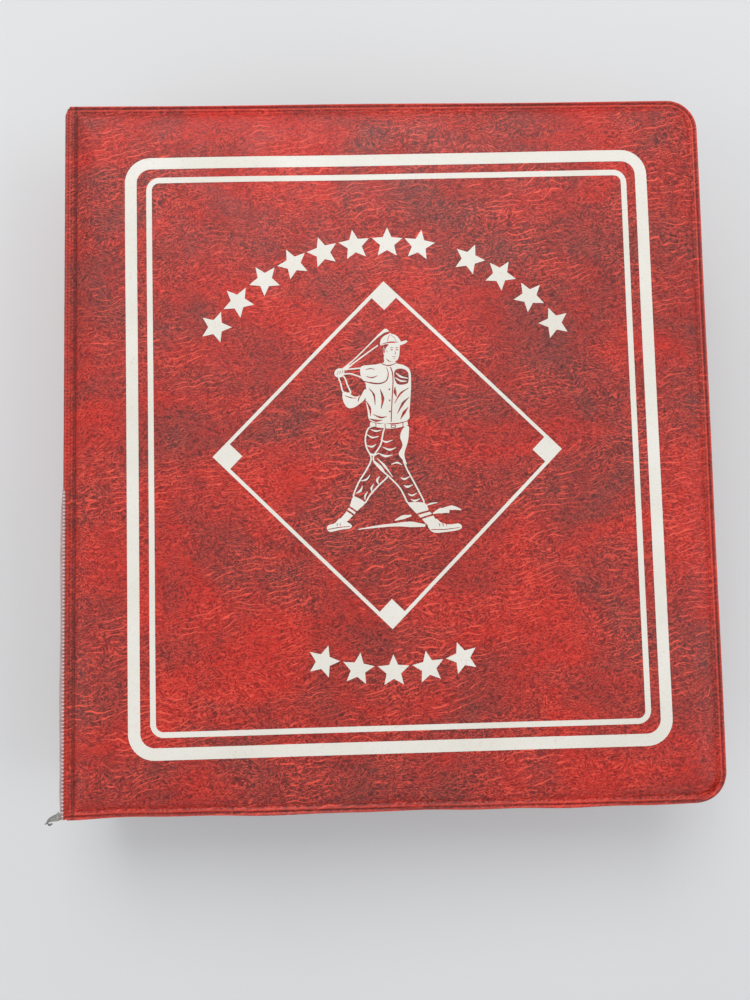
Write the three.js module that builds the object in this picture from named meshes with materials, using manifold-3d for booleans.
// Padded ring binder for trading cards, closed and lying on its back cover.
//
// Units are millimetres. +Z is up, +X runs from the spine to the fore-edge and +Y to the top of
// the cover. The origin is on the back cover's outer face, at the middle of the cover.
// Heights inside a cover are counted from its weld plane, the plane in which its outer vinyl and
// its liner are welded together round the edge. Across the spine, "rise" is the distance from the
// spine's middle plane towards the fore-edge, and z is counted from the middle of the spine.

import * as THREE from 'three';
import { mergeVertices } from 'three/addons/utils/BufferGeometryUtils.js';
import Module from 'manifold-3d';

const wasm = await Module();
wasm.setup();

// Driving dimensions.
const COVER_WIDTH = 266.7;
const COVER_HEIGHT = 292.1;
const TOTAL_THICKNESS = 58;
const CORNER_RADIUS = 12.5;
const SQUARE_CORNER_RADIUS = 0.6;
const RING_PITCH = 107.95;
const RING_INNER_DIAMETER = 32;
const WIRE_DIAMETER = 3;
const PAGE_WIDTH = 228;
const PAGE_HEIGHT = 279.4;
const PAGE_THICKNESS = 0.8;
const PAGE_COUNT = 6;

// Layers of a cover, as heights from its weld plane. Outwards is positive.
const CROWN = 3.2;
const WELD_HALF = 0.45;
const SKIN = 0.5;
const BOARD_TOP = 0.6;
const BOARD_BOTTOM = -1.35;
const LINER_INSIDE = -1.8;
const LINER = 0.4;
const FIT = 0.05;

// Layers of the spine, as rises from its middle plane.
const SPINE_OUTSIDE = -1.5;
const SPINE_BOARD_HALF = 0.95;
const SPINE_INSIDE = 1.4;
const FILM = 0.3;
const POCKET_HEIGHT = 131;
const POCKET_WIDTH = 42;

// Hinges: a welded bead that the cover turns about, on a short web.
const BEAD_RADIUS = 1;
const HINGE_GAP = 0.3;

// Ring mechanism.
const BASE_HALF_WIDTH = 11;
const BASE_WALL = 0.9;
const BASE_FOOT = SPINE_INSIDE + FIT;
const BASE_SHOULDER = 3.4;
const BASE_CREST = 7.4;
const BASE_LENGTH = 290;
const PLATE_PIVOT_RISE = 3;
const PLATE_PIVOT_Z = 9;
const PLATE_THICKNESS = 0.8;
const PLATE_LENGTH = 280.4;
const RIVET_Y = 125;
const RIVET_RADIUS = 2.25;
const RIVET_HEAD_RADIUS = 4.5;
const TRIGGER_Y = 142;
const TRIGGER_RISE = 3.1;
const TRUNNION_RADIUS = 0.8;
const RUNNING_GAP = 0.3;

// Pages on the rings.
const PAGE_SLOPE = THREE.MathUtils.degToRad(3.5);
const FIRST_PAGE_DROP = 2;
const PAGE_STEP = 1.2;
const PAGE_HOLE_RADIUS = 4.4;
const PAGE_HOLE_INSET = 9;
const PAGE_HOLE_PLAY = 1.7;

// Places that follow from them.
const HINGE_X = -COVER_WIDTH / 2 - SPINE_OUTSIDE;
const BACK_WELD_Z = CROWN;
const FRONT_WELD_Z = TOTAL_THICKNESS - CROWN;
const MIDDLE_Z = TOTAL_THICKNESS / 2;
const HINGE_Z = FRONT_WELD_Z - MIDDLE_Z;
const WIRE_RADIUS = WIRE_DIAMETER / 2;
const RING_RADIUS = RING_INNER_DIAMETER / 2 + WIRE_RADIUS;
const RING_CENTRE_RISE = 20;
const RING_PLACES = [RING_PITCH, 0, -RING_PITCH];

const group = new THREE.Group();

const finishes = {
  vinyl: { color: 0xa2352a, roughness: 0.45, metalness: 0 },
  liner: { color: 0xb02436, roughness: 0.55, metalness: 0 },
  board: { color: 0x8d7a62, roughness: 0.9, metalness: 0 },
  foam: { color: 0xe6e0cc, roughness: 1, metalness: 0 },
  clear: { color: 0xd9dde0, roughness: 0.15, metalness: 0 },
  plated: { color: 0xc9ccd0, roughness: 0.2, metalness: 1 },
};

function addPiece(parent, name, geometry, finish) {
  const mesh = new THREE.Mesh(geometry, new THREE.MeshStandardMaterial(finishes[finish]));
  mesh.name = name;
  parent.add(mesh);
  return mesh;
}

function toSolid(geometry) {
  const bare = geometry.clone();
  bare.deleteAttribute('normal');
  bare.deleteAttribute('uv');
  const merged = mergeVertices(bare, 1e-4);
  const vertProperties = new Float32Array(merged.attributes.position.array);
  const triVerts = new Uint32Array(merged.index.array);
  return new wasm.Manifold(new wasm.Mesh({ numProp: 3, vertProperties, triVerts }));
}

function toGeometry(solid) {
  const { vertProperties, triVerts } = solid.getMesh();
  const geometry = new THREE.BufferGeometry();
  geometry.setAttribute('position', new THREE.BufferAttribute(new Float32Array(vertProperties), 3));
  geometry.setIndex(new THREE.BufferAttribute(new Uint32Array(triVerts), 1));
  geometry.computeVertexNormals();
  return geometry;
}

function cut(geometry, cutters) {
  return toGeometry(cutters.reduce((solid, cutter) => solid.subtract(toSolid(cutter)), toSolid(geometry)));
}

function join(geometries) {
  return toGeometry(geometries.map(toSolid).reduce((solid, next) => solid.add(next)));
}

function box(low, high) {
  const size = high.map((value, i) => value - low[i]);
  const geometry = new THREE.BoxGeometry(...size);
  return geometry.translate(...low.map((value, i) => value + size[i] / 2));
}

// A rod of the given radius along X, between two rises, at a place in Y and Z.
function rodAlongX(radius, from, to, y) {
  const rod = new THREE.CylinderGeometry(radius, radius, to - from, 20).rotateZ(Math.PI / 2);
  return rod.translate((from + to) / 2, y, 0);
}

// A section drawn as (rise, z) is extruded along Y, centred on y = 0.
function extrudeAlongY(section, length) {
  const geometry = new THREE.ExtrudeGeometry(section, { depth: length, bevelEnabled: false });
  return geometry.translate(0, 0, -length / 2).rotateX(Math.PI / 2);
}

// The outline of a cover, moved inwards: square at the spine and round at the fore-edge.
function coverOutline(inset) {
  const left = HINGE_X + BEAD_RADIUS + HINGE_GAP + inset;
  const right = COVER_WIDTH / 2 - inset;
  const top = COVER_HEIGHT / 2 - inset;
  const round = Math.max(CORNER_RADIUS - inset, 1.5);
  const square = SQUARE_CORNER_RADIUS;
  const corners = [
    [right - round, top - round, round, 0],
    [left + square, top - square, square, 1],
    [left + square, square - top, square, 2],
    [right - round, round - top, round, 3],
  ];
  const steps = 5;
  return corners.flatMap(([x, y, radius, quarter]) =>
    Array.from({ length: steps + 1 }, (_, i) => {
      const angle = (quarter + i / steps) * (Math.PI / 2);
      return [x + radius * Math.cos(angle), y + radius * Math.sin(angle)];
    }));
}

// A closed solid from outlines at [inset, height] steps, with a lid on the first and the last.
function layered(profile) {
  const rings = profile.map(([inset, height]) => coverOutline(inset).map(([x, y]) => [x, y, height]));
  const count = rings[0].length;
  const positions = rings.flat(2);
  const first = rings.length * count;
  positions.push(0, 0, profile[0][1], 0, 0, profile.at(-1)[1]);
  const faces = [];
  for (let i = 0; i < count; i += 1) {
    const next = (i + 1) % count;
    const last = (rings.length - 1) * count;
    faces.push(first, next, i, first + 1, last + i, last + next);
    for (let k = 0; k < last; k += count) {
      faces.push(k + i, k + next, k + count + next, k + i, k + count + next, k + count + i);
    }
  }
  const geometry = new THREE.BufferGeometry();
  geometry.setAttribute('position', new THREE.Float32BufferAttribute(positions, 3));
  geometry.setIndex(faces);
  geometry.computeVertexNormals();
  return geometry;
}

// Cover layers, for a cover whose outer face looks up. The crown rises from the weld in a curve.
const weldWidth = 3;
const crownRise = [[4.5, 1.35], [7, 2.4], [11, 3], [16, CROWN]];

function skinProfile() {
  const under = crownRise.map(([inset, height]) => [inset, height - SKIN - FIT]).reverse();
  const weld = [[weldWidth + 0.4, FIT], [0, FIT], [0, WELD_HALF], [weldWidth, WELD_HALF]];
  return [...under, ...weld, ...crownRise];
}

function foamProfile() {
  const start = 5.4;
  const top = crownRise.slice(1).map(([inset, height]) => [inset, height - SKIN - 3 * FIT]);
  return [[start, BOARD_TOP + FIT], [start, BOARD_TOP + 0.4], ...top];
}

function boardProfile() {
  const inset = 5;
  return [[inset, BOARD_BOTTOM], [inset, BOARD_TOP]];
}

function linerProfile() {
  const outside = [[weldWidth + 1.4, LINER_INSIDE], [weldWidth, -WELD_HALF], [0, -WELD_HALF], [0, 0]];
  return [...outside, [weldWidth + 0.4, 0], [weldWidth + 1.75, LINER_INSIDE + LINER]];
}

function turnedOver(profile) {
  return profile.map(([inset, height]) => [inset, -height]).reverse();
}

function addCover(side, weldZ, outwards) {
  const cover = new THREE.Group();
  cover.position.z = weldZ;
  const shaped = (profile) => layered(outwards > 0 ? profile : turnedOver(profile));
  addPiece(cover, `${side}_cover_skin`, shaped(skinProfile()), 'vinyl');
  addPiece(cover, `${side}_cover_foam`, shaped(foamProfile()), 'foam');
  addPiece(cover, `${side}_cover_board`, shaped(boardProfile()), 'board');
  addPiece(cover, `${side}_cover_liner`, shaped(linerProfile()), 'liner');
  group.add(cover);
}

function rivetHoles(from, to) {
  return [RIVET_Y, -RIVET_Y].map((y) => rodAlongX(RIVET_RADIUS + 0.25, from, to, y));
}

// A vinyl sheet of the spine: flat over the board, with both edges drawn in to the hinge webs.
function spineSheet(face, back) {
  const flatHalf = HINGE_Z - 3;
  const tuckHalf = flatHalf + 1.3;
  const tuck = Math.sign(face) * FIT;
  const toe = Math.sign(face) * WELD_HALF;
  const half = [[face, flatHalf], [toe, tuckHalf], [tuck, tuckHalf], [back, flatHalf]];
  const outline = [...half, ...half.map(([rise, z]) => [rise, -z]).reverse()];
  const shape = new THREE.Shape(outline.map(([rise, z]) => new THREE.Vector2(rise, z)));
  return extrudeAlongY(shape, COVER_HEIGHT);
}

function hingeWeld(direction) {
  const webReach = 1.6;
  const bead = new THREE.CylinderGeometry(BEAD_RADIUS, BEAD_RADIUS, COVER_HEIGHT, 16);
  const web = box(
    [-WELD_HALF, -COVER_HEIGHT / 2, -webReach],
    [WELD_HALF, COVER_HEIGHT / 2, 0],
  );
  if (direction < 0) web.rotateX(Math.PI);
  return join([bead, web]).translate(0, 0, direction * HINGE_Z);
}

function labelPocket() {
  const low = -COVER_HEIGHT / 2;
  const face = SPINE_OUTSIDE - FIT;
  const film = box(
    [face - FILM, low, -POCKET_WIDTH / 2],
    [face, low + POCKET_HEIGHT, POCKET_WIDTH / 2],
  );
  return cut(film, [rodAlongX(RIVET_RADIUS + 0.25, face - 1, face + 1, -RIVET_Y)]);
}

function addSpine(spine) {
  const boardHalf = HINGE_Z - 3.2;
  const boardEnd = COVER_HEIGHT / 2 - 4;
  const board = box(
    [-SPINE_BOARD_HALF, -boardEnd, -boardHalf],
    [SPINE_BOARD_HALF, boardEnd, boardHalf],
  );
  const skin = spineSheet(SPINE_OUTSIDE, -SPINE_BOARD_HALF - FIT);
  const liner = spineSheet(SPINE_INSIDE, SPINE_BOARD_HALF + FIT);
  addPiece(spine, 'spine_skin', cut(skin, rivetHoles(-3, 0)), 'vinyl');
  addPiece(spine, 'spine_board', cut(board, rivetHoles(-3, 3)), 'board');
  addPiece(spine, 'spine_liner', cut(liner, rivetHoles(0, 3)), 'liner');
  addPiece(spine, 'front_hinge_weld', hingeWeld(1), 'vinyl');
  addPiece(spine, 'back_hinge_weld', hingeWeld(-1), 'vinyl');
  addPiece(spine, 'spine_label_pocket', labelPocket(), 'clear');
}

// The base is an arch of plated steel: straight feet and an elliptical top.
function archOutline(halfWidth, crest) {
  const steps = 12;
  return Array.from({ length: steps + 1 }, (_, i) => {
    const angle = Math.PI * (i / steps);
    const rise = BASE_SHOULDER + (crest - BASE_SHOULDER) * Math.sin(angle);
    return new THREE.Vector2(rise, halfWidth * Math.cos(angle));
  });
}

function ringBase() {
  const inner = BASE_HALF_WIDTH - BASE_WALL;
  const foot = (z) => new THREE.Vector2(BASE_FOOT, z);
  const outside = [foot(BASE_HALF_WIDTH), ...archOutline(BASE_HALF_WIDTH, BASE_CREST)];
  const inside = [foot(-inner), ...archOutline(inner, BASE_CREST - BASE_WALL).reverse(), foot(inner)];
  const section = new THREE.Shape([...outside, foot(-BASE_HALF_WIDTH), ...inside]);
  const arch = extrudeAlongY(section, BASE_LENGTH);

  const slotHalf = WIRE_RADIUS + 1.1;
  const slots = RING_PLACES.flatMap((y) => [
    box([3, y - slotHalf, 5.2], [BASE_CREST + 1, y + slotHalf, BASE_HALF_WIDTH + 1]),
    box([3, y - slotHalf, -BASE_HALF_WIDTH - 1], [BASE_CREST + 1, y + slotHalf, -5.2]),
  ]);
  const mouth = PLATE_LENGTH / 2 - 0.9;
  const mouths = [1, -1].map((end) => box(
    [0, end > 0 ? mouth : -BASE_LENGTH, -inner],
    [BASE_CREST + 1, end > 0 ? BASE_LENGTH : -mouth, inner],
  ));
  const bearings = [1, -1].map((end) => {
    const bearing = new THREE.CylinderGeometry(
      TRUNNION_RADIUS + RUNNING_GAP, TRUNNION_RADIUS + RUNNING_GAP, 3 * BASE_HALF_WIDTH, 16);
    return bearing.rotateX(Math.PI / 2).translate(TRIGGER_RISE, end * TRIGGER_Y, 0);
  });
  const rivets = rivetHoles(BASE_SHOULDER, BASE_CREST + 1);
  return cut(arch, [...slots, ...mouths, ...bearings, ...rivets]);
}

// One of the two plates that meet under the arch and carry the ring halves.
function hingePlate(side) {
  const meeting = 0.4;
  const outer = PLATE_PIVOT_Z + 0.6;
  const z = side > 0 ? [meeting, outer] : [-outer, -meeting];
  const plate = box(
    [PLATE_PIVOT_RISE - PLATE_THICKNESS / 2, -PLATE_LENGTH / 2, z[0]],
    [PLATE_PIVOT_RISE + PLATE_THICKNESS / 2, PLATE_LENGTH / 2, z[1]],
  );
  const notches = [RIVET_Y, -RIVET_Y].map((y) => rodAlongX(RIVET_RADIUS + 1, 0, 6, y));
  return cut(plate, notches);
}

// The wire stands on its plate, leaves the arch at the shoulder and follows the ring's circle.
function ringHalf(side) {
  const foot = PLATE_PIVOT_RISE + PLATE_THICKNESS / 2 + FIT;
  const tipGap = 0.25;
  const start = THREE.MathUtils.degToRad(47);
  const tip = Math.PI - tipGap / RING_RADIUS;
  const steps = 11;
  const route = [[foot, 7.6], [foot + 1.2, 7.75], [foot + 2.7, 8.9]];
  for (let i = 0; i <= steps; i += 1) {
    const angle = start + (tip - start) * (i / steps);
    route.push([RING_CENTRE_RISE - RING_RADIUS * Math.cos(angle), RING_RADIUS * Math.sin(angle)]);
  }
  const path = new THREE.CatmullRomCurve3(route.map(([rise, z]) => new THREE.Vector3(rise, 0, side * z)));
  const section = new THREE.Shape().absarc(0, 0, WIRE_RADIUS, 0, 2 * Math.PI);
  const wire = new THREE.ExtrudeGeometry(section, { extrudePath: path, steps: 16, curveSegments: 5 });
  const underPlateTop = box([0, -9, -30], [foot, 9, 30]);
  return cut(wire, [underPlateTop]);
}

// Rivet along X: a domed head on the arch, a shank, and a domed head outside the spine.
function rivet(headFace) {
  const crest = BASE_CREST + FIT;
  const profile = [
    [0, headFace - 1], [3, headFace - 0.8], [RIVET_HEAD_RADIUS, headFace - 0.2],
    [RIVET_HEAD_RADIUS, headFace], [RIVET_RADIUS, headFace], [RIVET_RADIUS, crest],
    [RIVET_HEAD_RADIUS - 0.5, crest], [RIVET_HEAD_RADIUS - 0.5, crest + 0.3],
    [2.5, crest + 0.85], [0, crest + 1],
  ];
  const points = profile.map(([radius, along]) => new THREE.Vector2(radius, along));
  return new THREE.LatheGeometry(points, 20).rotateZ(-Math.PI / 2);
}

// The lever is drawn as (rise, y) from its trunnion: a thumb arm upwards and a nose under the plates.
function trigger(end) {
  const armHalfWidth = 8;
  const armHalf = 0.6;
  const spineLine = new THREE.QuadraticBezierCurve(
    new THREE.Vector2(-1.35, 0), new THREE.Vector2(7, 0.2), new THREE.Vector2(13.6, 2.9));
  const steps = 8;
  const edge = (offset) => Array.from({ length: steps + 1 }, (_, i) => {
    const point = spineLine.getPoint(i / steps);
    const along = spineLine.getTangent(i / steps);
    return new THREE.Vector2(point.x - along.y * offset, point.y + along.x * offset);
  });
  const outline = new THREE.Shape([...edge(armHalf).reverse(), ...edge(-armHalf)]);
  const arm = new THREE.ExtrudeGeometry(outline, { depth: 2 * armHalfWidth, bevelEnabled: false });
  arm.translate(0, 0, -armHalfWidth);
  const nose = box([-1.35, -3.3, -1.2], [-0.85, 0, 1.2]);
  const trunnionLength = 2 * (BASE_HALF_WIDTH - RUNNING_GAP);
  const trunnion = new THREE.CylinderGeometry(TRUNNION_RADIUS, TRUNNION_RADIUS, trunnionLength, 12)
    .rotateX(Math.PI / 2);
  const lever = join([arm, nose, trunnion]);
  if (end < 0) lever.rotateX(Math.PI);
  return lever.translate(TRIGGER_RISE, end * TRIGGER_Y, 0);
}

function addMechanism(spine) {
  addPiece(spine, 'ring_base', ringBase(), 'plated');
  for (const [side, sign] of [['front', 1], ['back', -1]]) {
    addPiece(spine, `hinge_plate_${side}`, hingePlate(sign), 'plated');
    RING_PLACES.forEach((y, i) => {
      const half = addPiece(spine, `ring_${i + 1}_${side}_half`, ringHalf(sign), 'plated');
      half.position.y = y;
    });
  }
  addPiece(spine, 'trigger_top', trigger(1), 'plated');
  addPiece(spine, 'trigger_bottom', trigger(-1), 'plated');
  const overSkin = SPINE_OUTSIDE - FIT;
  const overFilm = overSkin - FILM - FIT;
  addPiece(spine, 'rivet_top', rivet(overSkin), 'plated').position.y = RIVET_Y;
  addPiece(spine, 'rivet_bottom', rivet(overFilm), 'plated').position.y = -RIVET_Y;
}

// A page as its plane lies on the rings: the ring's centre is the origin and X runs along the page.
function pocketPage(drop) {
  const hole = Math.sqrt(RING_RADIUS ** 2 - drop ** 2) + PAGE_HOLE_PLAY;
  const left = hole - PAGE_HOLE_INSET;
  const right = left + PAGE_WIDTH;
  const half = PAGE_HEIGHT / 2;
  const sheet = new THREE.Shape([
    new THREE.Vector2(left, -half), new THREE.Vector2(right, -half),
    new THREE.Vector2(right, half), new THREE.Vector2(left, half),
  ]);
  for (const y of RING_PLACES) {
    sheet.holes.push(new THREE.Path().absarc(hole, y, PAGE_HOLE_RADIUS, 0, 2 * Math.PI, true));
  }
  const page = new THREE.ExtrudeGeometry(sheet, {
    depth: PAGE_THICKNESS, bevelEnabled: false, curveSegments: 8,
  });
  return page.translate(0, 0, -drop - PAGE_THICKNESS / 2);
}

function addPages(spine) {
  const stack = new THREE.Group();
  stack.position.x = RING_CENTRE_RISE;
  stack.rotation.y = PAGE_SLOPE;
  for (let i = 0; i < PAGE_COUNT; i += 1) {
    addPiece(stack, `pocket_page_${i + 1}`, pocketPage(FIRST_PAGE_DROP + i * PAGE_STEP), 'clear');
  }
  spine.add(stack);
}

const spine = new THREE.Group();
spine.position.set(HINGE_X, 0, MIDDLE_Z);
addCover('front', FRONT_WELD_Z, 1);
addSpine(spine);
addMechanism(spine);
addPages(spine);
addCover('back', BACK_WELD_Z, -1);
group.add(spine);

export default group;
